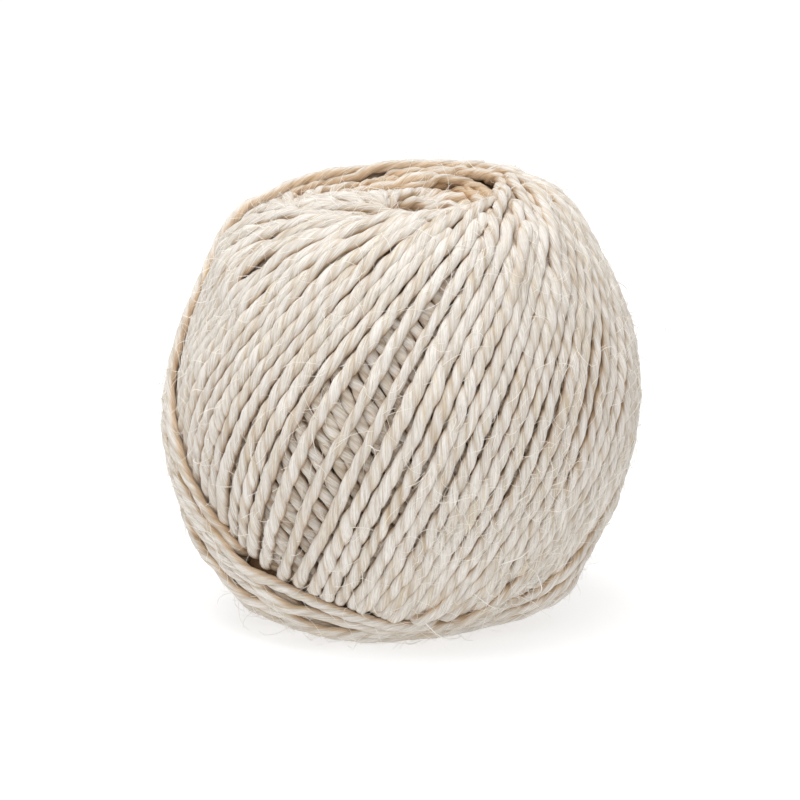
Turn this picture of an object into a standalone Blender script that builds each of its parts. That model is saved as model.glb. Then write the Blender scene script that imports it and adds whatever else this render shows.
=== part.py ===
"""A machine-wound ball of two-ply sisal string, standing on one end of its winding axis.

The ball is one closed solid: the wound form, with the hollow that the winding leaves at each
end, the broad ridges that the groups of turns make, and the raised band of the last few turns.
Units are metres, +Z is up, and the origin is at the bottom centre of the ball's box.
"""

import math

import bmesh
import bpy
from mathutils import Matrix, Vector

# Wound form, in the winding's own frame: its axis is Z and its middle is the origin.
BALL_RADIUS = 0.0447                     # at the equator
RIM_BULGE = 0.078                        # extra radius, as a share, where turns crowd at each end
RIM_BULGE_ANGLE = math.radians(35)       # from the axis
RIM_BULGE_SPREAD = math.radians(20)
RIM_FADE = math.radians(15)              # the same on the hollow's side
LONG_SHARE = 0.054                       # the last layer crowds at the top right and base left
LONG_ANGLE = math.radians(44)            # of that direction from the axis, towards +X

# The hollow at each end: a terrace of inner turns just below the rim, round a narrow hole.
RIM_ANGLE = math.radians(27)             # from the axis
TERRACE_DEPTH = 0.0022                   # at the top; the base's is squashed level
TERRACE_SLOPE = 0.005                    # width of the slope from the rim down to the terrace
HOLE_ACROSS = 0.0085                     # from the hole's middle to the terrace
HOLE_DEPTH = 0.017                       # below the terrace
HOLE_OFFSET = (0.0042, -0.0010)          # of the top hole from the axis; the base's is opposite

# Winding: every turn is a ring round the ball, whose own axis leans from the winding axis.
TURN_LEAN = math.radians(61.5)
LAST_TURN_HEADING = math.radians(-76)    # where the last turn's axis points, seen from above
RIDGE_COUNT = 18                         # groups of turns that show as one ridge each
RIDGE_HEIGHT = 0.0007
BAND_LEAN = math.radians(44)             # of the last few turns, side by side on top
BAND_HEADING = math.radians(-79)
BAND_SHIFT = -0.0100                     # of the band's middle, along its own axis: it is low
BAND_WIDTH = 0.0120
BAND_HEIGHT = 0.0013
BAND_EDGE = 0.0025                       # width of the step at each edge of the band
RIDGE_FADE = 0.006                       # the ridges sink away over this width beside the band
RIM_TO_WINDINGS = 0.3                    # and, as a share of the rim's size, towards each rim

# How it stands.
LEAN_TO_LEFT = math.radians(3.3)         # of the winding axis, towards -X
MIDDLE_HEIGHT = 0.0418                   # of the middle over the base, which is squashed flat

# Mesh.
STEPS_ROUND = 88
OUTSIDE_STEPS = 38                       # from rim to rim
HOLLOW_STEPS = 8
WELD_DISTANCE = 0.00001

STRING_COLOUR = (0.80, 0.73, 0.62, 1.0)
STRING_ROUGHNESS = 0.9


def remove_everything():
    for old in list(bpy.data.objects):
        bpy.data.objects.remove(old, do_unlink=True)


def outside_radius(angle):
    """Distance from the middle to the outside, at an angle from the nearer end of the axis."""
    past = angle - RIM_BULGE_ANGLE
    spread = RIM_BULGE_SPREAD if past > 0 else RIM_FADE
    return BALL_RADIUS * (1 + RIM_BULGE * math.exp(-(past / spread) ** 2))


def smooth_step(value):
    value = min(max(value, 0.0), 1.0)
    return value * value * (3 - 2 * value)


def rim_place():
    """Distance of the rim from the axis, and its height above the ball's middle."""
    radius = outside_radius(RIM_ANGLE)
    return radius * math.sin(RIM_ANGLE), radius * math.cos(RIM_ANGLE)


def hollow_height(across, terrace_depth):
    """Height of a hollow's floor above the ball's middle, at a distance from its own middle."""
    rim_across, rim_height = rim_place()
    terrace = rim_height - terrace_depth * smooth_step((rim_across - across) / TERRACE_SLOPE)
    return terrace - HOLE_DEPTH * (1 - smooth_step(across / HOLE_ACROSS))


def half_outline(terrace_depth):
    """Points from the bottom of a hollow, over the rim, to the equator."""
    rim_across = rim_place()[0]
    points = []
    for step in range(HOLLOW_STEPS):
        across = rim_across * (step / HOLLOW_STEPS)
        points.append((across, hollow_height(across, terrace_depth)))
    half = OUTSIDE_STEPS // 2
    for step in range(half + 1):
        angle = RIM_ANGLE + (math.pi / 2 - RIM_ANGLE) * step / half
        radius = outside_radius(angle)
        points.append((radius * math.sin(angle), radius * math.cos(angle)))
    return points


def ball_outline():
    """Outline from the base hollow's bottom, round the outside, to the top hollow's bottom."""
    base = [Vector((across, 0, -height)) for across, height in half_outline(0)]
    top = [Vector((across, 0, height)) for across, height in half_outline(TERRACE_DEPTH)[:-1]]
    return base + top[::-1]


def turned_form():
    """The ball's outline turned once round the winding axis, as a closed bmesh."""
    form = bmesh.new()
    corners = [form.verts.new(point) for point in ball_outline()]
    edges = [form.edges.new(pair) for pair in zip(corners, corners[1:])]
    bmesh.ops.spin(form, geom=corners + edges, cent=(0, 0, 0), axis=(0, 0, 1),
                   angle=2 * math.pi, steps=STEPS_ROUND, use_merge=True)
    bmesh.ops.remove_doubles(form, verts=form.verts, dist=WELD_DISTANCE)
    bmesh.ops.recalc_face_normals(form, faces=form.faces)
    return form


def turn_axis(heading, lean):
    """Unit axis of the turn that was wound at a heading and a lean."""
    return Vector((math.sin(lean) * math.cos(heading), math.sin(lean) * math.sin(heading),
                   math.cos(lean)))


def top_turn(direction):
    """Heading of the newest turn that crosses a direction, and how squarely it crosses.

    Two turns cross each place, one rising and one falling. The newer one lies on top. Inside a
    hollow no turn crosses, and the second number is zero.
    """
    across = math.hypot(direction.x, direction.y)
    if across < WELD_DISTANCE:
        return 0.0, 0.0
    reach = -direction.z / (across * math.tan(TURN_LEAN))
    if abs(reach) >= 1:
        return 0.0, 0.0
    place = math.atan2(direction.y, direction.x)
    spread = math.acos(reach)
    ages = [(LAST_TURN_HEADING - place - side * spread) % (2 * math.pi) for side in (-1, 1)]
    return LAST_TURN_HEADING - min(ages), math.sin(spread)


def winding_height(point):
    """How far the ridges and the band of last turns raise the surface at a point."""
    heading, squareness = top_turn(point.normalized())
    from_band = point.dot(turn_axis(BAND_HEADING, BAND_LEAN)) - BAND_SHIFT
    past_band = abs(from_band) - BAND_WIDTH / 2
    band = smooth_step(0.5 - past_band / BAND_EDGE)
    beside_band = smooth_step(past_band / RIDGE_FADE)
    ridges = RIDGE_HEIGHT * squareness * math.cos(RIDGE_COUNT * heading)
    return ridges * beside_band + BAND_HEIGHT * band


def raise_windings(form):
    """Push each point of the outside out along its own direction. The hollows stay smooth."""
    rim_across = rim_place()[0]
    for corner in form.verts:
        past_rim = math.hypot(corner.co.x, corner.co.y) / rim_across - 1
        outside = smooth_step(past_rim / RIM_TO_WINDINGS)
        corner.co += corner.co.normalized() * winding_height(corner.co) * outside


def move_holes(form):
    """Slide the middle of each hollow off the axis: the inner turns were wound at a tilt."""
    rim_across = rim_place()[0]
    for corner in form.verts:
        inward = 1 - smooth_step(math.hypot(corner.co.x, corner.co.y) / rim_across)
        end = math.copysign(1, corner.co.z)
        corner.co.x += end * HOLE_OFFSET[0] * inward
        corner.co.y += end * HOLE_OFFSET[1] * inward


def lengthen(form):
    """Stretch the ball a little along the direction where the last layer crowds."""
    long_way = Vector((math.sin(LONG_ANGLE), 0, math.cos(LONG_ANGLE)))
    for corner in form.verts:
        share = corner.co.normalized().dot(long_way)
        corner.co *= 1 + LONG_SHARE * (share ** 2 - 1 / 3)


def stand_up(form):
    """Lean the ball, flatten its base, and put the origin at the bottom centre of its box."""
    lean = Matrix.Rotation(-LEAN_TO_LEFT, 4, "Y")
    bmesh.ops.transform(form, matrix=lean, verts=form.verts)
    for corner in form.verts:
        corner.co.z = max(corner.co.z, -MIDDLE_HEIGHT)
    middle_x = sum(extent(form, 0)) / 2
    middle_y = sum(extent(form, 1)) / 2
    bmesh.ops.translate(form, vec=(-middle_x, -middle_y, MIDDLE_HEIGHT), verts=form.verts)


def extent(form, axis):
    places = [corner.co[axis] for corner in form.verts]
    return min(places), max(places)


def string_material():
    material = bpy.data.materials.new("sisal_string")
    material.use_nodes = True
    shader = material.node_tree.nodes["Principled BSDF"]
    shader.inputs["Base Color"].default_value = STRING_COLOUR
    shader.inputs["Roughness"].default_value = STRING_ROUGHNESS
    shader.inputs["Metallic"].default_value = 0.0
    return material


def make_ball():
    form = turned_form()
    raise_windings(form)
    move_holes(form)
    lengthen(form)
    stand_up(form)
    bmesh.ops.triangulate(form, faces=form.faces)
    mesh = bpy.data.meshes.new("string_ball")
    form.to_mesh(mesh)
    form.free()
    mesh.shade_smooth()
    mesh.materials.append(string_material())
    ball = bpy.data.objects.new("string_ball", mesh)
    bpy.context.collection.objects.link(ball)
    return ball


remove_everything()
make_ball()
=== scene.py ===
"""The looks of a ball of two-ply sisal string: every turn that shows, laid one after another.

The string is wound round the ball in numpy, turn by turn, on a map of the surface's height, so
each turn rests on the ones below it, slides off their shoulders and bridges their gaps. The
turns that still show at the end are meshed as twisted two-ply string. Sizes are in millimetres
up to the meshes, which are in metres like the frame. The named angles are in degrees.
"""

import math

import bpy
import numpy as np
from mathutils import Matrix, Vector


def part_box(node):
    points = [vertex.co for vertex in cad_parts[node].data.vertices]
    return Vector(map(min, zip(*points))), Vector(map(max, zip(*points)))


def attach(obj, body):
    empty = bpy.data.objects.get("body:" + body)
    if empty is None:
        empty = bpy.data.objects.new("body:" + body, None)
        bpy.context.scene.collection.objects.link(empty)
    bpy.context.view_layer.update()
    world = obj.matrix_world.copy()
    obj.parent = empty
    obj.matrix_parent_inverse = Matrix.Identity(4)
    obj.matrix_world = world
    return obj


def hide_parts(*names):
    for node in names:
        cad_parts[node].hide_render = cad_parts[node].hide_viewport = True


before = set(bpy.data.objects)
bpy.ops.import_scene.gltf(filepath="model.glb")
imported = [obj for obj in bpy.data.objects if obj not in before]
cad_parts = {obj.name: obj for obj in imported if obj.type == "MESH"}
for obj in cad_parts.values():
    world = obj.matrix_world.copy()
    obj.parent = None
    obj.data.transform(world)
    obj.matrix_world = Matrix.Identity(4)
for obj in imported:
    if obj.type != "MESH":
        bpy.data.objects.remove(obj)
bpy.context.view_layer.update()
MM = 0.001

# The string. Its changes along its length are a wavelength in mm and a size, as a share.
STRING = 2.45                   # thickness
HALF = STRING / 2
LAY = 9.6                       # length of string in which its two plies twist once round
LAY_CHANGE = (70, 0.10)
PLY_SHARE = 0.815               # a ply's own radius, as a share of the string's
PLY_SHARE_CHANGE = (50, 0.03)
PLY_CHANGE = (22, 0.05)         # of each ply's thickness
SLOW_CHANGE = (45, 0.075)       # of the string's thickness
QUICK_CHANGE = (9, 0.04)
THICKNESS_LIMITS = (0.78, 1.28)
FIBRE_TWIST = 0.55              # the fibres' own twist, as a share of the plies'

# The ball, in the winding's own frame: its axis is Z and its middle is the origin.
BALL_RADIUS = 44.7              # at its equator
BALL_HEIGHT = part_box("string_ball")[1].z / MM
MIDDLE_HEIGHT = 41.8            # of the middle over the floor: the base is a little squashed
RIM_BULGE = 0.078               # extra radius, as a share, where turns crowd at each end
RIM_BULGE_ANGLE = 35.0          # from the axis
RIM_BULGE_SPREAD = 20.0
RIM_FADE = 15.0                 # the same on the hollow's side
RIM_FADE_END = -11.0            # from the bulge: the form inside the hollow is the same as here
LONG_SHARE = 0.054              # the last layer's turns crowd at the top right and bottom left
LONG_ANGLE = 44.0               # from the axis towards +X
SLIM_SHARE = 0.045              # the ball is slimmer at the bottom right
SLIM_ANGLE = 138.0              # from the axis towards +X
SLIM_SHARPNESS = 11
LEAN_TO_LEFT = 3.3              # of the winding axis, towards -X
BASE_SOFTNESS = 1.2             # how high over the floor the base begins to be squashed

# The winding. Every turn is a ring whose own axis leans from the winding axis. A turn's age is
# how far its heading lies before the last turn's.
LAST_TURN_HEADING = -76.0       # where the last turn's own axis points, seen from above
START_RADIUS = 20.0             # of the core, which isn't wound here because it never shows
LAYER_GROWTH = 2.24             # mm2 that each turn adds to the radius squared
INNER_TURNS = 505
CORE_LEAN = 83.0                # at the start: nearly no hollow
SHOULDER_LEAN = 75.0            # before the last layers: a narrow hollow
LAST_LEAN = 61.5                # the last layers: a wide hollow
LEAN_WANDER = 1.0
LAST_LEAN_WANDER = 0.6
TIGHT_PITCH = 2.6               # between turns at the equator
UNDER_PITCH = 2.95              # the same in the layers just under the last one
INNER_JITTER = 0.1              # of the steps between turns, as a share
STEP_JITTER = 0.115             # the same in the last layers
STEP_LIMITS = (0.6, 1.5)
LOOSE_STEP = 4.6                # of heading between turns of the last layer
GAP_STEP = 3.3                  # more than that where the last layer stands open
GAP_AGE = 114.0
GAP_SPREAD = 17.0
GAP_JITTER = 1.6                # extra jitter in the gap, as a share of the jitter
LOOSE_AGE = 215.0               # the last layer starts here
RIM_AGE = 320.0                 # the layers that make the rim start here
WIDE_AGE = 600.0                # the hollow widens from here to the rim's layers
BAND_TURNS = 4                  # the last few turns, side by side
BAND_STEP = 3.1
BAND_LEAN = 44.0
BAND_HEADING = -79.0
BAND_SHIFT = -15.0              # of the band's middle from the great circle: it lies low
INNER_TILT = 9.0                # that the inner layers' axis leans from the last ones'
INNER_TILT_HEADING = -15.0

# How a turn lies on what is under it.
WANDER_LENGTH = 26.0            # of the small sideways waves in a turn
WANDER_SIZE = 0.28
WANDER_MOST = 0.8
SLIP_PASSES = 14                # in which a turn slides sideways down a slope
SLIP_RATE = 0.45
SLIP_RETURN = 0.03              # back towards its own path
SLIP_STIFFNESS = 2.2
FRICTION = 0.15                 # steepest slope on which it stays
SLIP_JOIN = 6.0                 # length in which a turn leaves the place where the last one ended
HEIGHT_JOIN = 5.0
PRESSED_IN = 0.10               # how far a turn sinks in everywhere
CROWD_REACH = 6.0               # over which the crowding of turns is felt
CROWD_HEIGHT = 2.5              # over the ball's form at which a turn is pressed flat
LEAST_LEFT = 0.07               # of a crowded turn's thickness, near its lowest and highest place
LEAST_LEFT_BETWEEN = 0.35       # and half-way between them
SMOOTHING = 0.8                 # of the surface that a turn rests on
TAUTNESS = 0.75                 # share of the dips that the string bridges
TAUT_PASSES = 3
TAUT_REACHES = (48, 32, 20, 12, 8, 5, 3, 2, 1)
STIFFNESS = 1.0
BRIDGE = 0.55                   # how far a turn may pass over the dips below it
BRIDGE_REACH = 3.0
CROSSING = 1.75                 # least height between the middles of two crossing turns
CROSSING_REACH = 3              # samples beside a crossing that are pressed down as far
CROSSING_SMOOTHING = 0.6

# The height map: directions on an unfolded octahedron, so no place on it is badly stretched.
GRID = 560
FINE = 0.24                     # spacing of samples along and across the string
LOOK = np.arange(-11, 12)       # sideways samples, in steps of FINE
CENTRE = np.arange(-6, 7)       # where the string's middle may lie among them
FOOT = np.arange(-4, 5)         # what lies under the string
FOOT_RISE = np.sqrt(np.maximum(HALF ** 2 - (FOOT * FINE) ** 2, 0))
FLANK = 2                       # samples beside the string that show whether a gap is there

# The wound form is compared with the intended one in blocks of the sphere, and corrected.
BLOCK_ROWS = 18
BLOCK_COLUMNS = 24
BLOCK_HIGH = 180 // BLOCK_ROWS
BLOCK_WIDE = 360 // BLOCK_COLUMNS
OUTSIDE_PERCENTILE = 62         # of the heights in a block: where its outside is taken to be
END_BLOCKS = 3                  # rows in the hollows, which follow the rims

# The meshed string.
SECTION_STRIDE = 4              # samples between the sections
SECTION_SPACING = SECTION_STRIDE * FINE
SECTION_ANGLES = (0, 36, 68, 90, 112, 144, 180, 216, 248, 270, 292, 324)
LEAST_BARE = 0.23               # share of a section's width that shows
COVER_MARGIN = 0.12             # height of what may lie on a bare section
SHOWN_MARGIN = 3                # sections that a run goes on for under what covers it
TUCK_DEPTH = 1.3                # of a run's cut ends
TUCK_THINNING = 0.45
PIECE_FACES = 92000
RADIAL_SQUASH = 0.95
SIDE_SPREAD = 1.15

# The closed surface under the string.
INNER_ROWS = 66
INNER_COLUMNS = 132
INNER_END = 1.0                 # angle of its first and last rows from the axis
INNER_DEPTH = 1.5
INNER_SAMPLES = 60              # of the height round each point, the lowest of which is kept
INNER_REACH = 0.035
INNER_FIBRES = (2.0, 2.0, 0.4)  # stretches the string's pattern over it
INNER_SHADE = (0.3, 4.0, -1.0)    # groove, depth and facing that give it the darkest painted crevice shade

# The bake maps.
MAP_ROOM = 1.02                 # row spacing, as a share of the string's girth
MAP_ROWS = (0.93, 0.998)        # part of the map for the rows of string
CAP_COLUMN = 0.945              # left side of the column of cut ends
CAP_COLUMN_WIDTH = 0.05
CAPS_PER_ROW = 8
CAP_SIZE = 0.4                  # a cap's radius, as a share of its cell
INNER_MAP = 0.95
INNER_CAP_SIZE = 0.02
INNER_CAP_PLACES = ((0.975, 0.1), (0.975, 0.2))

# Stray fibres.
STRAYS = 4300
STRAY_STEPS = 6
STRAY_LENGTH = 3.4              # the middle one's
STRAY_LENGTH_SPREAD = 0.55
STRAY_HALF = 0.06               # half its width
STRAY_WIDTHS = (0.6, 1.25)
STRAY_TAPER = 0.55
STRAY_ANGLES = (-1.3, 1.3)      # radians round the string, from its outside, where one leaves it
STRAY_ROOT = 0.85               # distance of its root from the string's middle, in string radii
STRAY_TURN = 0.6                # sideways as it sets off
STRAY_LIFT = (0.05, 0.6)        # outwards as it sets off
STRAY_CURL = (3.5, 20.0)        # radius
CURL_CHANGE = 0.10              # at each step
STRAY_HEIGHTS = (0.1, 0.9)      # over its root, between which it goes on freely
STRAY_RISE = 0.22               # pull outwards, below them
STRAY_FALL = -0.3               # pull inwards, above them
STRAY_FLOOR = 0.15              # least height over the floor
BARE_ROOT = 0.5                 # least bare share of a section that a fibre stands on
FUZZY_PLACES = ((-54, -38), (-60, -13), (-78, -18), (-50, -5))     # heading and rise
FUZZY_SPREAD = 9.0
FUZZY_EXTRA = 4.0
# Long ones near the floor: heading and rise of the root, direction over the surface, length.
LONG_STRAYS = ((-69, -40, -30, 12.0), (-82, -48, -42, 11.0), (-91, -58, -35, 6.0),
               (-150, 12, 170, 4.0), (-155, -8, 10, 4.5), (-50, -35, -60, 9.0),
               (-64, -30, 40, 9.0))
LONG_LIFT = 0.3
LONG_CURL = 0.35                # as a share of the others'
LONG_CURL_CHANGE = 0.15
LONG_WIDTH = 2.2

# Colours, and how far each pattern is stretched: across the string twice, and along it.
FIBRE = (0.92, 0.88, 0.81)
PALE = (0.88, 0.845, 0.80)
CREAM = (0.82, 0.78, 0.73)
TAN = (0.76, 0.69, 0.60)
WHITE = (1, 1, 1)
STREAK = (0.74, 0.68, 0.60)
FINE_STREAK = (0.74, 0.70, 0.64)
YELLOWED = (0.90, 0.82, 0.66)
# Painted shade: darker in the groove between plies, under other turns and on flanks that face
# inwards
GROOVE_SHADE = (0.74, 0.62, 0.48)
SUNK_SHADE = (0.82, 0.68, 0.52)
FACING_IN_SHADE = (0.90, 0.71, 0.52)
TONE_SIZE = (0.2, 0.2, 0.018)
STREAK_SIZE = (3.4, 3.4, 0.14)
FINE_STREAK_SIZE = (9.0, 9.0, 0.35)
PATCH_SIZE = (0.8, 0.8, 0.09)
DEPTH_SHARE = 0.22              # turns a depth in mm into a place on the ramp of painted shade under other turns

# The room: each light's name, place, size and power, in metres and watts.
FLOOR_HALF = 3.0
FLOOR_GREY = (0.45, 0.45, 0.45, 1)
FLOOR_GLOW = 0.62
ROOM_WHITE = (1, 1, 1, 1)
ROOM_BRIGHTNESS = 0.70
LIGHTS = (("overhead", (-0.10, -0.06, 0.75), 0.6, 4.6),
          ("front", (-0.15, -0.90, 0.45), 0.6, 1.9))

# The camera, in metres apart from what it looks at.
CAMERA_ELEVATION = 14.0
CAMERA_DISTANCE = 1.2
CAMERA_TARGET = (-0.8, 0, MIDDLE_HEIGHT - 0.1)
PICTURE_WIDTH = 0.1527          # at the ball
SENSOR_WIDTH = 36
NEAREST_SEEN = 0.01

rng = np.random.default_rng(11)


def map_cells(places):
    """Index in the height map of each direction. The directions needn't be unit vectors."""
    size = np.abs(places).sum(-1)
    u = places[..., 0] / size
    v = places[..., 1] / size
    folded_u = (1 - np.abs(v)) * np.where(u < 0, -1, 1)
    folded_v = (1 - np.abs(u)) * np.where(v < 0, -1, 1)
    below = places[..., 2] < 0
    u = np.where(below, folded_u, u)
    v = np.where(below, folded_v, v)
    row = np.minimum(((u + 1) * (GRID / 2)).astype(np.int32), GRID - 1)
    column = np.minimum(((v + 1) * (GRID / 2)).astype(np.int32), GRID - 1)
    return row * GRID + column


def ring_frame(heading, lean):
    """A ring's own axis, its lowest direction, and the direction a quarter turn on."""
    axis = np.stack([np.sin(lean) * np.cos(heading), np.sin(lean) * np.sin(heading),
                     np.cos(lean)], -1)
    lowest = np.stack([np.cos(lean) * np.cos(heading), np.cos(lean) * np.sin(heading),
                       -np.sin(lean)], -1)
    return axis, lowest, np.cross(axis, lowest)


def tilted(ways, tilt):
    """Directions turned by an angle, each its own, so that the axis leans towards a heading."""
    heading = math.radians(INNER_TILT_HEADING)
    towards = np.array([math.cos(heading), math.sin(heading), 0.0])
    out = ways @ towards
    up = ways[:, 2]
    new_out = out * np.cos(tilt) + up * np.sin(tilt)
    new_up = up * np.cos(tilt) - out * np.sin(tilt)
    turned = ways + (new_out - out)[:, None] * towards
    turned[:, 2] = new_up
    return turned


def turn_path(here, there, share):
    """Directions along a turn, and its axis at each, between one row of the plan and the next."""
    around = (2 * math.pi * share)[:, None]
    heading, lean, tilt, shift = [
        start + (end - start) * share for start, end in zip(here, there)]
    axis, lowest, ahead = [tilted(way, tilt) for way in ring_frame(heading, lean)]
    path = np.cos(around) * lowest + np.sin(around) * ahead
    path = path * np.cos(shift)[:, None] + axis * np.sin(shift)[:, None]
    return path, axis


def blurred(values, step, width):
    """Values round a closed ring, blurred by a Gaussian."""
    rate = np.fft.rfftfreq(len(values), step)
    keep = np.exp(-2 * (math.pi * rate * width) ** 2)
    return np.fft.irfft(np.fft.rfft(values) * keep, len(values))


def wander(count, step, length, size):
    """Smooth noise round a closed ring."""
    rate = np.fft.rfftfreq(count, step)
    waves = rng.normal(size=len(rate)) + 1j * rng.normal(size=len(rate))
    noise = np.fft.irfft(waves * np.exp(-(rate * length) ** 2) * (rate > 0), count)
    return noise * size / noise.std()


def share_towards(places, angle):
    """Cosine of the angle between each place and the direction at an angle towards +X."""
    angle = math.radians(angle)
    reach = places[..., 0] * math.sin(angle) + places[..., 2] * math.cos(angle)
    return reach / np.linalg.norm(places, axis=-1)


def form_share(places):
    """The wound form's radius in each direction, as a share of the radius at its equator."""
    upright = np.abs(places[..., 2]) / np.linalg.norm(places, axis=-1)
    angle = np.degrees(np.arccos(np.clip(upright, 0, 1))) - RIM_BULGE_ANGLE
    fade = np.where(angle > 0, RIM_BULGE_SPREAD, RIM_FADE)
    bulge = RIM_BULGE * np.exp(-(np.maximum(angle, RIM_FADE_END) / fade) ** 2)
    mean_square = 1 / 3
    long_share = 1 + LONG_SHARE * (share_towards(places, LONG_ANGLE) ** 2 - mean_square)
    slim_way = np.maximum(share_towards(places, SLIM_ANGLE), 0)
    return (1 + bulge) * long_share * (1 - SLIM_SHARE * slim_way ** SLIM_SHARPNESS)


class Winding:
    """The ball as it is wound, and the map of its surface."""

    def __init__(self):
        self.height = np.full(GRID * GRID, START_RADIUS, np.float32)
        self.newest = np.zeros(GRID * GRID, np.int32)
        self.newest_middle = np.zeros(GRID * GRID, np.float32)
        self.radius = START_RADIUS + HALF
        self.last_slip = 0.0
        self.last_middle = self.radius
        self.turns = []

    def lay_turn(self, here, there):
        """Winds the string once round the ball, from the bottom to the bottom."""
        count = int(2 * math.pi * self.radius / FINE) // 2 * 2
        step = 2 * math.pi * self.radius / count
        share = np.arange(count) / count
        path, axis = turn_path(here, there, share)
        side = axis / self.radius
        needed = self.height_needed(path, side)
        laid = share * count * step
        slip = slipped(needed, step)
        slip += (self.last_slip - slip[0]) * np.exp(-laid / SLIP_JOIN)
        slip = np.clip(slip, CENTRE[0] * FINE, CENTRE[-1] * FINE)
        resting = self.pressed_in(interpolated(needed, slip), path, share, step)
        middle = np.minimum(taut(resting), blurred(resting, step, BRIDGE_REACH) + BRIDGE)
        middle = blurred(TAUTNESS * middle + (1 - TAUTNESS) * resting, step, STIFFNESS)
        middle += (self.last_middle - middle[0]) * np.exp(-laid / HEIGHT_JOIN)
        self.last_slip = slip[-1]
        self.last_middle = middle[-1]
        cells = self.raise_surface(path, slip[:, None] + FOOT * FINE, side, middle)
        self.newest[cells] = len(self.turns)
        self.newest_middle[cells] = middle[:, None]
        self.turns.append((path + slip[:, None] * side, middle, axis))
        self.radius = float(np.median(middle))

    def height_needed(self, path, side):
        """Least radius of the string's middle, along its path and sideways from it."""
        seen = path[:, None, :] + (LOOK * FINE)[None, :, None] * side[:, None, :]
        below = self.height[map_cells(seen)]
        needed = np.zeros((len(path), len(CENTRE)), np.float32)
        middle = len(LOOK) // 2
        for foot, rise in zip(FOOT, FOOT_RISE):
            first = middle + CENTRE[0] + foot
            needed = np.maximum(needed, below[:, first:first + len(CENTRE)] + rise)
        return needed

    def pressed_in(self, resting, path, share, step):
        """The radii of a turn's middle, lowered where turns crowd at the ends and pile up."""
        ball = form_share(path) * self.radius / np.median(form_share(path))
        between = np.abs(np.sin(2 * math.pi * share))
        excess = blurred(resting - HALF - ball, step, CROWD_REACH)
        left = np.clip(between - np.maximum(excess, 0) / CROWD_HEIGHT, LEAST_LEFT, 1)
        left = np.where(between > 0.5, np.maximum(left, LEAST_LEFT_BETWEEN), left)
        return blurred(resting, step, SMOOTHING) - PRESSED_IN - (1 - left) * STRING

    def raise_surface(self, path, across, side, middle):
        """Raises the map to a turn's top. Returns the cells that lie under the turn."""
        under = path[:, None, :] + across[..., None] * side[:, None, :]
        top = (middle[:, None] + FOOT_RISE).astype(np.float32)
        cells = map_cells(under)
        np.maximum.at(self.height, cells.ravel(), top.ravel())
        return cells

    def press(self):
        """Presses each turn down under the newer ones that cross it, and maps the surface anew."""
        self.height[:] = START_RADIUS
        for number, (path, middle, axis) in enumerate(self.turns):
            cells = map_cells(path)
            crossed = self.newest[cells] > number
            limit = self.newest_middle[cells] - CROSSING
            drop = np.where(crossed, np.maximum(middle - limit, 0), 0)
            beside = [np.roll(drop, reach) for reach in (-CROSSING_REACH, 0, CROSSING_REACH)]
            drop = blurred(np.maximum.reduce(beside), FINE, CROSSING_SMOOTHING)
            middle = middle - drop
            self.raise_surface(path, FOOT * FINE, axis / middle[:, None], middle)
            self.turns[number] = (path, middle, axis)


def interpolated(needed, slip):
    """The height needed at each point of the string, when it has slid sideways."""
    place = np.clip(slip / FINE - CENTRE[0], 0, len(CENTRE) - 1.001)
    column = place.astype(int)
    part = place - column
    row = np.arange(len(needed))
    return needed[row, column] * (1 - part) + needed[row, column + 1] * part


def slipped(needed, step):
    """How far each point of the string slides sideways, down off what lies under it."""
    start = wander(len(needed), step, WANDER_LENGTH, WANDER_SIZE)
    start = np.clip(start, -WANDER_MOST, WANDER_MOST)
    slip = start
    for _ in range(SLIP_PASSES):
        slope = (interpolated(needed, slip + FINE) - interpolated(needed, slip - FINE))
        slope = slope / (2 * FINE)
        slope = np.sign(slope) * np.maximum(np.abs(slope) - FRICTION, 0)
        slip = slip - SLIP_RATE * slope - SLIP_RETURN * (slip - start)
        slip = blurred(slip, step, SLIP_STIFFNESS)
        slip = np.clip(slip, (CENTRE[0] + 1) * FINE, (CENTRE[-1] - 1) * FINE)
    return slip


def taut(resting):
    """The radius of a taut string that rests on these radii and bridges the dips."""
    inverse = 1 / resting
    angle = 2 * math.pi / len(resting)
    for _ in range(TAUT_PASSES):
        for reach in TAUT_REACHES:
            both = np.roll(inverse, reach) + np.roll(inverse, -reach)
            inverse = np.minimum(inverse, both / (2 * math.cos(reach * angle)))
    return 1 / inverse


def outer_ages():
    """Ages of the last layers' turns, from the last turn inwards."""
    ages = [0.0]
    under_step = math.degrees(UNDER_PITCH / (BALL_RADIUS * math.sin(math.radians(LAST_LEAN))))
    while ages[-1] < WIDE_AGE:
        age = ages[-1]
        jitter = STEP_JITTER
        step = under_step
        if len(ages) <= BAND_TURNS:
            step = 0.0
        elif age < LOOSE_AGE:
            openness = math.exp(-((age - GAP_AGE) / GAP_SPREAD) ** 2)
            step = LOOSE_STEP + GAP_STEP * openness
            jitter *= 1 + GAP_JITTER * openness
        ages.append(age + step * np.clip(1 + jitter * rng.normal(), *STEP_LIMITS))
    return ages


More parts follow.
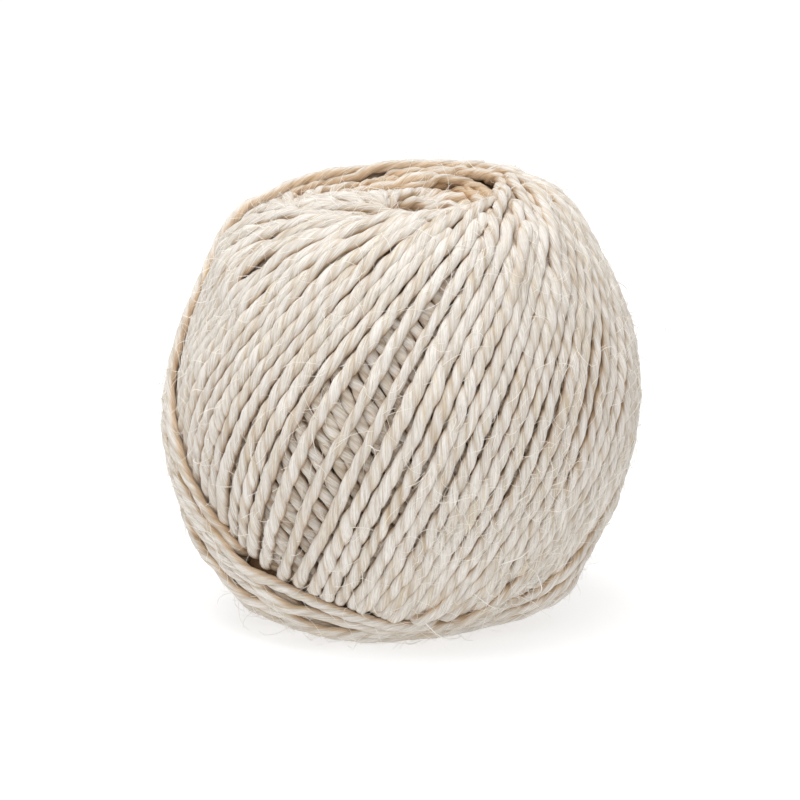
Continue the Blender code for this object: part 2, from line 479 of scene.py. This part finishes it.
def turn_plan():
    """Each turn's heading, lean, tilt and shift, from the core outwards, in radians."""
    ages = outer_ages()
    radius = np.sqrt(START_RADIUS ** 2 + LAYER_GROWTH * np.arange(INNER_TURNS)[::-1])
    steps = TIGHT_PITCH / (radius * math.sin(math.radians(SHOULDER_LEAN)))
    steps *= 1 + INNER_JITTER * rng.normal(size=INNER_TURNS)
    ages = np.concatenate([ages, ages[-1] + np.degrees(np.cumsum(steps))])
    lean = np.interp(ages, [RIM_AGE, WIDE_AGE, ages[-1]],
                     [LAST_LEAN, SHOULDER_LEAN, CORE_LEAN])
    wandering = np.where(ages > LOOSE_AGE, 1.0, LAST_LEAN_WANDER)
    lean += LEAN_WANDER * rng.normal(size=len(ages)) * wandering
    tilt = np.interp(ages, [RIM_AGE, WIDE_AGE], [0, INNER_TILT])
    heading = LAST_TURN_HEADING - ages
    shift = np.zeros(len(ages))
    heading[:BAND_TURNS] = BAND_HEADING
    lean[:BAND_TURNS] = BAND_LEAN
    shift[:BAND_TURNS] = BAND_SHIFT + BAND_STEP * ((BAND_TURNS - 1) / 2 - np.arange(BAND_TURNS))
    plan = np.radians(np.stack([heading, lean, tilt, shift], -1))
    return plan[::-1]


def wound_ball():
    """Winds the whole ball and returns its winding."""
    winding = Winding()
    plan = turn_plan()
    after = plan[-1] + [0, 0, 0, math.radians(BAND_STEP)]
    for here, there in zip(plan, np.vstack([plan[1:], after])):
        winding.lay_turn(here, there)
    winding.press()
    return winding


class Strand:
    """The whole string as one row of sections, evenly spaced, from the core to the last turn."""

    def __init__(self, winding):
        turns = [[values[::SECTION_STRIDE] for values in turn] for turn in winding.turns]
        self.way = unit(np.concatenate([turn[0] for turn in turns]))
        self.middle = np.concatenate([turn[1] for turn in turns])
        self.axis = np.concatenate([turn[2] for turn in turns])
        self.height = winding.height
        self.find_shown()
        self.stand_in_frame()
        self.twist_plies()

    def find_shown(self):
        """Finds the sections at the surface, or beside a gap in what lies over them."""
        side = self.axis / self.middle[:, None]
        seen = self.way[:, None, :] + (LOOK * FINE)[None, :, None] * side[:, None, :]
        over = self.height[map_cells(seen)]
        foot = np.abs(LOOK) <= FOOT[-1]
        top = self.middle[:, None] + FOOT_RISE
        self.bare = (over[:, foot] <= top + COVER_MARGIN).mean(1)
        self.depth = np.maximum(over[:, foot].max(1) - self.middle - HALF, 0)
        flank = (np.abs(LOOK) > FOOT[-1]) & (np.abs(LOOK) <= FOOT[-1] + FLANK)
        open_side = (over[:, flank] < self.middle[:, None]).any(1)
        self.shows = widened((self.bare > LEAST_BARE) | open_side, SHOWN_MARGIN)

    def stand_in_frame(self):
        """Works out each section's place and directions, in the frame."""
        self.correction = form_correction(self.height)
        scale = corrected(self.way, self.correction)
        self.place = settled(leaned(self.way * (self.middle * scale)[:, None]))
        self.along = unit(np.gradient(self.place, axis=0))
        out = leaned(self.way)
        out -= (out * self.along).sum(1)[:, None] * self.along
        self.out = unit(out)
        self.side = np.cross(self.along, self.out)
        steps = np.linalg.norm(np.diff(self.place, axis=0), axis=1)
        self.length = np.concatenate([[0], np.cumsum(steps)])

    def twist_plies(self):
        """Works out each section's twist and thickness."""
        count = len(self.place)
        lay = LAY * (1 + along_noise(count, *LAY_CHANGE))
        self.twist = np.cumsum(2 * math.pi * SECTION_SPACING / lay)
        thick = along_noise(count, *SLOW_CHANGE) + along_noise(count, *QUICK_CHANGE)
        self.thick = HALF * np.clip(1 + thick, *THICKNESS_LIMITS)
        self.plies = np.stack([1 + along_noise(count, *PLY_CHANGE) for _ in range(2)], 1)
        self.tight = PLY_SHARE + along_noise(count, *PLY_SHARE_CHANGE)


def unit(vectors):
    return vectors / np.linalg.norm(vectors, axis=-1, keepdims=True)


def widened(flags, reach):
    """Flags, with the places within reach of a set one set too."""
    counts = np.concatenate([[0], np.cumsum(flags)])
    low = np.maximum(np.arange(len(flags)) - reach, 0)
    high = np.minimum(np.arange(len(flags)) + reach + 1, len(flags))
    return counts[high] > counts[low]


def runs_of(flags, least):
    """Start and end of each unbroken stretch of set flags that is long enough."""
    edges = np.flatnonzero(np.diff(np.concatenate([[0], flags.astype(int), [0]])))
    return [(a, b) for a, b in zip(edges[::2], edges[1::2]) if b - a >= least]


def along_noise(count, wavelength, size):
    """Smooth noise along the string's sections."""
    noise = np.fft.rfft(rng.normal(size=count))
    rate = np.fft.rfftfreq(count)
    keep = np.exp(-(rate * (wavelength / SECTION_SPACING)) ** 2)
    noise = np.fft.irfft(noise * keep, count)
    return noise * size / noise.std()


def sphere_directions(angle, heading):
    """Unit vectors in rows: one for each angle from the axis, with one for each heading."""
    ring = np.sin(angle)[:, None]
    return np.stack([ring * np.cos(heading), ring * np.sin(heading),
                     np.cos(angle)[:, None] * np.ones_like(heading)], -1)


def smoothed_round(rows):
    """Each row, which goes once round, smoothed along itself."""
    return (np.roll(rows, 1, 1) + 2 * rows + np.roll(rows, -1, 1)) / 4


def form_correction(height):
    """How much each direction's radius is scaled, so that the outside has the wound form."""
    places = sphere_directions(np.radians((np.arange(180) + 0.5)),
                               np.radians((np.arange(360) + 0.5)))
    share = height[map_cells(places)] / form_share(places)
    blocks = share.reshape(BLOCK_ROWS, BLOCK_HIGH, BLOCK_COLUMNS, BLOCK_WIDE)
    outside = np.percentile(blocks, OUTSIDE_PERCENTILE, axis=(1, 3))
    outside[:END_BLOCKS] = outside[END_BLOCKS]
    outside[-END_BLOCKS:] = outside[-END_BLOCKS - 1]
    for _ in range(2):
        outside = smoothed_round(outside)
        padded = np.vstack([outside[:1], outside, outside[-1:]])
        outside = (padded[:-2] + 2 * padded[1:-1] + padded[2:]) / 4
    return BALL_RADIUS / outside


def corrected(way, correction):
    """The correction at each direction, read smoothly from its grid."""
    row = np.degrees(np.arccos(np.clip(way[:, 2], -1, 1))) / BLOCK_HIGH - 0.5
    row = np.clip(row, 0, BLOCK_ROWS - 1.001)
    column = np.degrees(np.arctan2(way[:, 1], way[:, 0])) % 360 / BLOCK_WIDE - 0.5
    row_low = row.astype(int)
    column_low = np.floor(column).astype(int)
    down = row - row_low
    along = column - column_low
    first, second = column_low % BLOCK_COLUMNS, (column_low + 1) % BLOCK_COLUMNS
    above = correction[row_low, first] * (1 - along) + correction[row_low, second] * along
    below = correction[row_low + 1, first] * (1 - along) + correction[row_low + 1, second] * along
    return above * (1 - down) + below * down


def leaned(vectors):
    """Vectors of the winding's own frame, as they are when its axis leans to the left."""
    lean = math.radians(LEAN_TO_LEFT)
    turned = np.array([[math.cos(lean), 0, -math.sin(lean)], [0, 1, 0],
                       [math.sin(lean), 0, math.cos(lean)]])
    return vectors @ turned.T


def settled(middles):
    """Stands the ball on the floor, with its base squashed flat."""
    under = middles[:, 2] + MIDDLE_HEIGHT - HALF
    squashed = BASE_SOFTNESS * np.exp(np.minimum(under - BASE_SOFTNESS, 0) / BASE_SOFTNESS)
    height = HALF + np.where(under < BASE_SOFTNESS, squashed, under)
    return np.column_stack([middles[:, :2], height])


def tuck(count):
    """From 1 at a run's two cut ends to 0 inside it, so that they dive under what covers them."""
    ends = np.minimum(np.arange(count), np.arange(count)[::-1])
    return np.clip(1 - ends / SHOWN_MARGIN, 0, 1) ** 1.5


def two_plies(strand, part, around):
    """Radius of two round plies side by side, at each angle, as a share of the string's."""
    across = np.abs(np.cos(around))
    ply = strand.tight[part, None]
    apart = 1 - ply
    radius = apart * across + np.sqrt(ply ** 2 - (apart * np.sin(around)) ** 2)
    ply_size = np.where(np.cos(around) < 0, strand.plies[part, 1:2], strand.plies[part, 0:1])
    return radius * np.where(np.isclose(across, 0), 1, ply_size)


def section_points(strand, first, last):
    """Points round each section of a run, and the string laid straight and untwisted.

    The last two results are how deep each point lies in the groove between the plies, and how far
    it faces outwards: the mask of the painted crevice shade.
    """
    part = slice(first, last)
    ends = tuck(last - first)[:, None]
    around = np.radians(SECTION_ANGLES)
    thick = strand.thick[part, None]
    radius = two_plies(strand, part, around) * thick * (1 - TUCK_THINNING * ends)
    turned = around - strand.twist[part, None]
    facing = np.cos(turned)
    outward = (radius * facing * RADIAL_SQUASH)[:, :, None] * strand.out[part, None, :]
    sideways = (radius * np.sin(turned) * SIDE_SPREAD)[:, :, None] * strand.side[part, None, :]
    middle = strand.place[part] - TUCK_DEPTH * ends * strand.out[part]
    points = middle[:, None, :] + outward + sideways
    fibre = around - strand.twist[part, None] * (1 - FIBRE_TWIST)
    length = np.broadcast_to(strand.length[part, None], radius.shape)
    straight = np.stack([HALF * np.cos(fibre), HALF * np.sin(fibre), length], -1)
    groove = 1 - radius / thick
    return points, straight, groove, facing


def string_pieces(strand):
    """Meshes the runs of string that show, a limited number of faces to each piece."""
    pieces, batch, faces = [], [], 0
    for run in runs_of(strand.shows, 2 * SHOWN_MARGIN):
        batch.append(run)
        faces += (run[1] - run[0]) * len(SECTION_ANGLES)
        if faces > PIECE_FACES:
            pieces.append(string_piece(strand, batch, len(pieces) + 1))
            batch, faces = [], 0
    pieces.append(string_piece(strand, batch, len(pieces) + 1))
    return pieces


def string_piece(strand, runs, number):
    """One piece of several runs, with what its material needs to know at each point."""
    parts = [section_points(strand, first, last) for first, last in runs]
    points, straight, groove, facing = [np.concatenate(values) for values in zip(*parts)]
    depth = np.concatenate([strand.depth[first:last] for first, last in runs])
    points[..., 2] = np.maximum(points[..., 2], 0)
    quads, caps = tube_faces(runs)
    name = f"string_turns_{number}"
    mesh = mesh_from(name, points.reshape(-1, 3) * MM, quads, caps)
    add_vectors(mesh, "straight", straight.reshape(-1, 3))
    # The groove, the depth under other turns and the facing: the mask of the painted crevice shade
    hidden = np.broadcast_to(depth[:, None], groove.shape)
    add_vectors(mesh, "shade_mask", np.stack([groove, hidden, facing], -1).reshape(-1, 3))
    lay_out(mesh, string_map(len(quads), len(caps)))
    return finished_piece(name, mesh)


def tube_faces(runs):
    """The faces round each run, and the caps on its two ends."""
    sides = len(SECTION_ANGLES)
    ring = np.arange(sides)
    following = (ring + 1) % sides
    quads, caps = [], []
    start = 0
    for first, last in runs:
        base = (start + np.arange(last - first - 1))[:, None] * sides
        quads.append(np.stack([base + ring, base + following, base + sides + following,
                               base + sides + ring], -1).reshape(-1, 4))
        caps.append(start * sides + ring[::-1])
        start += last - first
        caps.append((start - 1) * sides + ring)
    return np.concatenate(quads), np.array(caps)


def mesh_from(name, points, quads, caps):
    """A smooth mesh of four-sided faces, with caps that all have as many sides as each other."""
    mesh = bpy.data.meshes.new(name)
    corners = np.concatenate([quads.ravel(), caps.ravel()])
    sizes = np.concatenate([np.full(len(quads), 4), np.full(len(caps), caps.shape[1])])
    mesh.vertices.add(len(points))
    mesh.vertices.foreach_set("co", points.astype(np.float32).ravel())
    mesh.loops.add(len(corners))
    mesh.loops.foreach_set("vertex_index", corners.astype(np.int32))
    mesh.polygons.add(len(sizes))
    starts = np.concatenate([[0], np.cumsum(sizes)[:-1]])
    mesh.polygons.foreach_set("loop_start", starts.astype(np.int32))
    mesh.update(calc_edges=True)
    mesh.shade_smooth()
    return mesh


def add_vectors(mesh, name, values):
    made = mesh.attributes.new(name, "FLOAT_VECTOR", "POINT")
    made.data.foreach_set("vector", values.astype(np.float32).ravel())


def lay_out(mesh, places):
    """Gives the mesh a bake map, with a place for each corner of each face."""
    layer = mesh.uv_layers.new(name="OFBake", do_init=False)
    layer.uv.foreach_set("vector", places.astype(np.float32).ravel())


def circle(corners):
    """Points round a unit circle."""
    turn = 2 * math.pi * np.arange(corners) / corners
    return np.stack([np.cos(turn), np.sin(turn)], -1)


def string_map(quads, caps):
    """A map with the string in rows, one over the other, and its cut ends in a narrow column."""
    sides = len(SECTION_ANGLES)
    girth = math.pi * STRING
    lengths = quads // sides
    width = math.sqrt(lengths * SECTION_SPACING * girth) * MAP_ROOM
    column = np.arange(lengths)
    per_row = int(width / SECTION_SPACING)
    row = column // per_row
    left = (column % per_row) * SECTION_SPACING
    right = left + SECTION_SPACING
    low = row[:, None] * girth * MAP_ROOM + np.arange(sides) * (girth / sides)
    high = low + girth / sides
    u = np.stack([left, left, right, right], -1)[:, None, :]
    v = np.stack([low, high, high, low], -1)
    u = np.broadcast_to(u, v.shape)
    rows = np.stack([u * MAP_ROWS[0] / u.max(), v * MAP_ROWS[1] / v.max()], -1)
    number = np.arange(caps)
    cell = CAP_COLUMN_WIDTH / CAPS_PER_ROW
    middles = np.stack([CAP_COLUMN + (number % CAPS_PER_ROW + 0.5) * cell,
                        (number // CAPS_PER_ROW + 0.5) * cell], -1)
    round_caps = middles[:, None, :] + circle(sides) * cell * CAP_SIZE
    return np.concatenate([rows.reshape(-1, 2), round_caps.reshape(-1, 2)])


def inner_surface(strand):
    """A closed surface just under the string, so that no gap shows the ball's empty inside. It is
    coloured with the darkest painted crevice shade.
    """
    place = inner_places(strand)
    ring = np.arange(INNER_COLUMNS)
    following = (ring + 1) % INNER_COLUMNS
    base = np.arange(INNER_ROWS - 1)[:, None] * INNER_COLUMNS
    quads = np.stack([base + ring, base + INNER_COLUMNS + ring, base + INNER_COLUMNS + following,
                      base + following], -1).reshape(-1, 4)
    caps = np.stack([ring, (INNER_ROWS - 1) * INNER_COLUMNS + ring[::-1]])
    mesh = mesh_from("inner_turns", place * MM, quads, caps)
    add_vectors(mesh, "straight", place * INNER_FIBRES)
    # The darkest painted crevice shade, everywhere on the inner surface
    add_vectors(mesh, "shade_mask", np.tile(INNER_SHADE, (len(place), 1)))
    lay_out(mesh, inner_map())
    return finished_piece("inner_turns", mesh)


def inner_places(strand):
    """Points a little under the lowest of the string near them, in rows from the top down."""
    angle = np.radians(np.linspace(INNER_END, 180 - INNER_END, INNER_ROWS))
    heading = np.arange(INNER_COLUMNS) * 2 * math.pi / INNER_COLUMNS
    way = sphere_directions(angle, heading)
    near = rng.normal(size=(INNER_SAMPLES, 3)) * INNER_REACH
    height = np.stack([strand.height[map_cells(way + step)] for step in near])
    height = height.min(0) - INNER_DEPTH
    height = smoothed_round(smoothed_round(height)).ravel()
    way = way.reshape(-1, 3)
    place = settled(leaned(way * (height * corrected(way, strand.correction))[:, None]))
    place[:, 2] = np.maximum(place[:, 2], HALF)
    return place


def inner_map():
    """A map with the inner surface as a grid, and its two caps beside it."""
    left = np.arange(INNER_COLUMNS) / INNER_COLUMNS
    low = np.arange(INNER_ROWS - 1)[:, None] / INNER_ROWS
    left, low = np.broadcast_arrays(left, low)
    right, high = left + 1 / INNER_COLUMNS, low + 1 / INNER_ROWS
    grid = np.stack([np.stack([left, left, right, right], -1),
                     np.stack([low, high, high, low], -1)], -1).reshape(-1, 2) * INNER_MAP
    round_cap = circle(INNER_COLUMNS) * INNER_CAP_SIZE
    return np.concatenate([grid] + [round_cap + place for place in INNER_CAP_PLACES])


def direction(heading, rise):
    heading, rise = math.radians(heading), math.radians(rise)
    return np.array([math.cos(rise) * math.cos(heading), math.cos(rise) * math.sin(heading),
                     math.sin(rise)])


def stray_roots(strand):
    """The sections that stray fibres stand on: more of them in the fuzzy places."""
    way = unit(strand.place - np.array([0, 0, MIDDLE_HEIGHT]))
    chance = np.where(strand.shows & (strand.bare > BARE_ROOT), 1.0, 0.0)
    fuzz = np.zeros(len(way))
    for heading, rise in FUZZY_PLACES:
        apart = np.degrees(np.arccos(np.clip(way @ direction(heading, rise), -1, 1)))
        fuzz += np.exp(-(apart / FUZZY_SPREAD) ** 2)
    chance *= 1 + FUZZY_EXTRA * fuzz
    roots = rng.choice(len(way), STRAYS, p=chance / chance.sum())
    prefer_shown = 0.2 * (chance > 0)
    long_roots = [int(np.argmax(way @ direction(heading, rise) + prefer_shown))
                  for heading, rise, _, _ in LONG_STRAYS]
    return np.concatenate([roots, long_roots])


def stray_starts(strand, roots):
    """Where each stray fibre leaves the string, and the direction in which it sets off."""
    count = len(roots)
    out, along, side = strand.out[roots], strand.along[roots], strand.side[roots]
    around = rng.uniform(*STRAY_ANGLES, count)[:, None]
    stand = np.cos(around) * out + np.sin(around) * side
    start = strand.place[roots] + stand * strand.thick[roots, None] * STRAY_ROOT
    forward = along * rng.choice([-1.0, 1.0], count)[:, None]
    turn_aside = rng.normal(size=(count, 1)) * STRAY_TURN
    lift = rng.uniform(*STRAY_LIFT, (count, 1))
    going = unit(forward + turn_aside * side + lift * stand)
    for number, (_, _, turn, _) in enumerate(LONG_STRAYS):
        row = STRAYS + number
        going[row] = long_stray_direction(out[row], math.radians(turn))
    return start, going


def long_stray_direction(out, turn):
    """A direction over the surface, turned from the horizontal one, and a little outwards."""
    east = unit(np.cross([0.0, 0.0, 1.0], out))
    north = np.cross(out, east)
    return math.cos(turn) * east + math.sin(turn) * north + LONG_LIFT * out


def stray_fibres(strand):
    """Fibres that have worked loose from the string: thin curling threads, closed at the ends."""
    roots = stray_roots(strand)
    count = len(roots)
    long = np.arange(count) >= STRAYS
    start, going = stray_starts(strand, roots)
    out = strand.out[roots]
    length = STRAY_LENGTH * np.exp(STRAY_LENGTH_SPREAD * rng.normal(size=count))
    length[long] = [length for _, _, _, length in LONG_STRAYS]
    step = (length / STRAY_STEPS)[:, None]
    curl = unit(rng.normal(size=(count, 3))) / rng.uniform(*STRAY_CURL, (count, 1))
    curl[long] *= LONG_CURL
    change = CURL_CHANGE * np.where(long, LONG_CURL_CHANGE, 1.0)[:, None]
    path = [start]
    for _ in range(STRAY_STEPS):
        curl = curl + change * rng.normal(size=(count, 3))
        rise = ((path[-1] - start) * out).sum(1)
        pull = np.where(rise > STRAY_HEIGHTS[1], STRAY_FALL,
                        np.where(rise < STRAY_HEIGHTS[0], STRAY_RISE, 0.0))[:, None]
        going = unit(going + np.cross(curl, going) * step + pull * out)
        path.append(path[-1] + going * step)
    path = np.stack(path, 1)
    path[..., 2] = np.maximum(path[..., 2], STRAY_FLOOR)
    half = np.where(long, LONG_WIDTH, rng.uniform(*STRAY_WIDTHS, count)) * STRAY_HALF
    return fibre_piece(path, half)


def fibre_piece(path, half):
    """Three-sided tubes along the paths, joined in one mesh."""
    count, steps = path.shape[:2]
    ring = np.arange(3)
    following = (ring + 1) % 3
    base = (np.arange(count)[:, None, None] * steps + np.arange(steps - 1)[:, None]) * 3
    quads = np.stack([base + ring, base + following, base + 3 + following, base + 3 + ring], -1)
    first = np.arange(count)[:, None] * steps * 3
    caps = np.stack([first + ring[::-1], first + (steps - 1) * 3 + ring], 1).reshape(-1, 3)
    points = fibre_points(path, half).reshape(-1, 3) * MM
    mesh = mesh_from("stray_fibres", points, quads.reshape(-1, 4), caps)
    lay_out(mesh, fibre_map(count, steps))
    return finished_piece("stray_fibres", mesh)


def fibre_points(path, half):
    """Three corners round each place on the paths, closer together towards the tips."""
    ahead = unit(np.gradient(path, axis=1))
    slanting = [0.31, 0.52, 0.80]
    across = unit(np.cross(ahead, slanting))
    other = np.cross(ahead, across)
    taper = np.linspace(1.0, STRAY_TAPER, path.shape[1])[None, :, None]
    corners = []
    for turn in (0.0, 2 * math.pi / 3, 4 * math.pi / 3):
        shift = math.cos(turn) * across + math.sin(turn) * other
        corners.append(path + shift * half[:, None, None] * taper)
    return np.stack(corners, 2)


def fibre_map(count, steps):
    """A map with a cell for each fibre: a small grid of its sides, and its two ends beside it."""
    cells = math.ceil(math.sqrt(count))
    number = np.arange(count)
    corner = np.stack([number % cells, number // cells], -1)[:, None, None, :]
    left, low = np.broadcast_arrays(np.arange(steps - 1)[:, None], np.arange(3)[None, :])
    box = np.stack([np.stack([left, low], -1), np.stack([left, low + 1], -1),
                    np.stack([left + 1, low + 1], -1), np.stack([left + 1, low], -1)], -2)
    box = box.reshape(1, -1, 4, 2) / [steps + 0.5, 3.2]
    sides = (corner + box).reshape(-1, 2) / cells
    end = np.array([[0.0, 0.0], [0.04, 0.0], [0.0, 0.2]])
    ends = np.stack([end + [0.92, 0.1], end + [0.92, 0.6]])[None]
    ends = (corner + ends).reshape(-1, 2) / cells
    return np.concatenate([sides, ends])


def finished_piece(name, mesh):
    """A piece of the string, which stays with the ball."""
    piece = bpy.data.objects.new(name, mesh)
    bpy.context.collection.objects.link(piece)
    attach(piece, "root")
    return piece


def new_material(name):
    """A material, and its node tree and shader."""
    material = bpy.data.materials.new(name)
    material.use_nodes = True
    tree = material.node_tree
    return material, tree, tree.nodes["Principled BSDF"]


def fibre_material():
    material, _, shader = new_material("loose_fibre")
    shader.inputs["Base Color"].default_value = (*FIBRE, 1)
    shader.inputs["Roughness"].default_value = 0.6
    return material


def add_node(tree, kind, **values):
    made = tree.nodes.new(kind)
    for key, value in values.items():
        setattr(made, key, value)
    return made


def noise(tree, scale, detail):
    """Noise over the string as if it lay straight and untwisted, stretched in each direction."""
    straight = add_node(tree, "ShaderNodeAttribute", attribute_name="straight")
    stretch = add_node(tree, "ShaderNodeVectorMath", operation="MULTIPLY")
    tree.links.new(straight.outputs["Vector"], stretch.inputs[0])
    stretch.inputs[1].default_value = scale
    made = add_node(tree, "ShaderNodeTexNoise")
    made.inputs["Scale"].default_value = 1.0
    made.inputs["Detail"].default_value = detail
    tree.links.new(stretch.outputs[0], made.inputs["Vector"])
    return made.outputs["Fac"]


def ramp(tree, source, *stops):
    """Colours that follow a number, from one place to the next."""
    made = add_node(tree, "ShaderNodeValToRGB")
    band = made.color_ramp.elements
    while len(band) < len(stops):
        band.new(0.5)
    for element, (place, colour) in zip(band, stops):
        element.position = place
        element.color = (*colour, 1)
    tree.links.new(source, made.inputs["Fac"])
    return made.outputs["Color"]


def darkened(tree, colour, share, by):
    """A colour multiplied by another, by a share of its strength."""
    made = add_node(tree, "ShaderNodeMix", data_type="RGBA", blend_type="MULTIPLY")
    made.inputs["Factor"].default_value = share
    tree.links.new(colour, made.inputs[6])
    tree.links.new(by, made.inputs[7])
    return made.outputs[2]


def string_colour(tree):
    """One tone for each stretch of string, then its fibres and yellowed patches."""
    tone = ramp(tree, noise(tree, TONE_SIZE, 2.0), (0.30, PALE), (0.52, CREAM), (0.74, TAN))
    streaks = ramp(tree, noise(tree, STREAK_SIZE, 3.0), (0.34, STREAK), (0.54, WHITE))
    fine = ramp(tree, noise(tree, FINE_STREAK_SIZE, 2.0), (0.34, FINE_STREAK), (0.58, WHITE))
    patches = ramp(tree, noise(tree, PATCH_SIZE, 3.0), (0.56, WHITE), (0.74, YELLOWED))
    colour = darkened(tree, tone, 0.75, streaks)
    colour = darkened(tree, colour, 0.6, fine)
    return darkened(tree, colour, 0.8, patches)


def add_painted_shade(tree, colour):
    """The colour with painted shade: darker in the groove between plies, under other turns and on
    flanks that face inwards.
    """
    shade_mask = add_node(tree, "ShaderNodeAttribute", attribute_name="shade_mask")
    parts = add_node(tree, "ShaderNodeSeparateXYZ")
    tree.links.new(shade_mask.outputs["Vector"], parts.inputs[0])
    deep = add_node(tree, "ShaderNodeMath", operation="MULTIPLY")
    deep.inputs[1].default_value = DEPTH_SHARE
    tree.links.new(parts.outputs["Y"], deep.inputs[0])
    groove = ramp(tree, parts.outputs["X"], (0.08, WHITE), (0.30, GROOVE_SHADE))
    sunk = ramp(tree, deep.outputs[0], (0.05, WHITE), (0.9, SUNK_SHADE))
    flank = ramp(tree, parts.outputs["Z"], (0.0, FACING_IN_SHADE), (0.50, WHITE))
    colour = darkened(tree, colour, 0.8, groove)
    colour = darkened(tree, colour, 1.0, sunk)
    return darkened(tree, colour, 0.9, flank)


def fibre_relief(tree):
    """The fibres' own relief, finer than the mesh."""
    relief = add_node(tree, "ShaderNodeMath", operation="ADD")
    tree.links.new(noise(tree, STREAK_SIZE, 3.0), relief.inputs[0])
    tree.links.new(noise(tree, FINE_STREAK_SIZE, 2.0), relief.inputs[1])
    bump = add_node(tree, "ShaderNodeBump")
    bump.inputs["Strength"].default_value = 0.9
    bump.inputs["Distance"].default_value = 0.0003
    tree.links.new(relief.outputs[0], bump.inputs["Height"])
    return bump.outputs["Normal"]


def string_material():
    material, tree, shader = new_material("sisal_string")
    shader.inputs["Roughness"].default_value = 0.72
    shader.inputs["Specular IOR Level"].default_value = 0.28
    shader.inputs["Sheen Weight"].default_value = 0.12
    shader.inputs["Sheen Roughness"].default_value = 0.5
    tree.links.new(add_painted_shade(tree, string_colour(tree)), shader.inputs["Base Color"])
    tree.links.new(fibre_relief(tree), shader.inputs["Normal"])
    return material


def set_stage():
    """A pale floor, a soft light overhead and a softer one in front, in a white room."""
    mesh = bpy.data.meshes.new("floor")
    size = FLOOR_HALF
    mesh.from_pydata([(-size, -size, 0), (size, -size, 0), (size, size, 0), (-size, size, 0)],
                     [], [(0, 1, 2, 3)])
    floor = bpy.data.objects.new("floor", mesh)
    bpy.context.collection.objects.link(floor)
    material, _, shader = new_material("pale_floor")
    shader.inputs["Base Color"].default_value = FLOOR_GREY
    shader.inputs["Roughness"].default_value = 0.9
    shader.inputs["Emission Color"].default_value = ROOM_WHITE
    shader.inputs["Emission Strength"].default_value = FLOOR_GLOW
    mesh.materials.append(material)
    world = bpy.data.worlds.new("white_room")
    world.use_nodes = True
    background = world.node_tree.nodes["Background"]
    background.inputs["Color"].default_value = ROOM_WHITE
    background.inputs["Strength"].default_value = ROOM_BRIGHTNESS
    bpy.context.scene.world = world
    for name, place, size, power in LIGHTS:
        add_light(name, place, size, power)


def add_light(name, place, size, power):
    """A square light that points at the ball's middle."""
    lamp = bpy.data.lights.new(name, "AREA")
    lamp.shape = "SQUARE"
    lamp.size = size
    lamp.energy = power
    light = bpy.data.objects.new(name, lamp)
    light.location = place
    aim = Vector((0, 0, BALL_HEIGHT / 2 * MM)) - Vector(place)
    light.rotation_euler = aim.to_track_quat("-Z", "Y").to_euler()
    bpy.context.collection.objects.link(light)


def set_camera():
    """A camera in front of the ball, looking a little down at it."""
    lens = bpy.data.cameras.new("camera")
    lens.sensor_width = SENSOR_WIDTH
    lens.lens = lens.sensor_width * CAMERA_DISTANCE / PICTURE_WIDTH
    lens.clip_start = NEAREST_SEEN
    camera = bpy.data.objects.new("camera", lens)
    rise = math.radians(CAMERA_ELEVATION)
    away = Vector((0, -math.cos(rise), math.sin(rise)))
    camera.location = Vector(CAMERA_TARGET) * MM + CAMERA_DISTANCE * away
    camera.rotation_euler = (-away).to_track_quat("-Z", "Y").to_euler()
    bpy.context.collection.objects.link(camera)
    scene = bpy.context.scene
    scene.camera = camera
    scene.view_settings.view_transform = "Standard"


strand = Strand(wound_ball())
pieces = string_pieces(strand) + [inner_surface(strand)]
paint = string_material()
for piece in pieces:
    piece.data.materials.append(paint)
fibres = stray_fibres(strand)
fibres.data.materials.append(fibre_material())
for piece in pieces + [fibres]:
    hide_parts("string_ball")
set_stage()
set_camera()
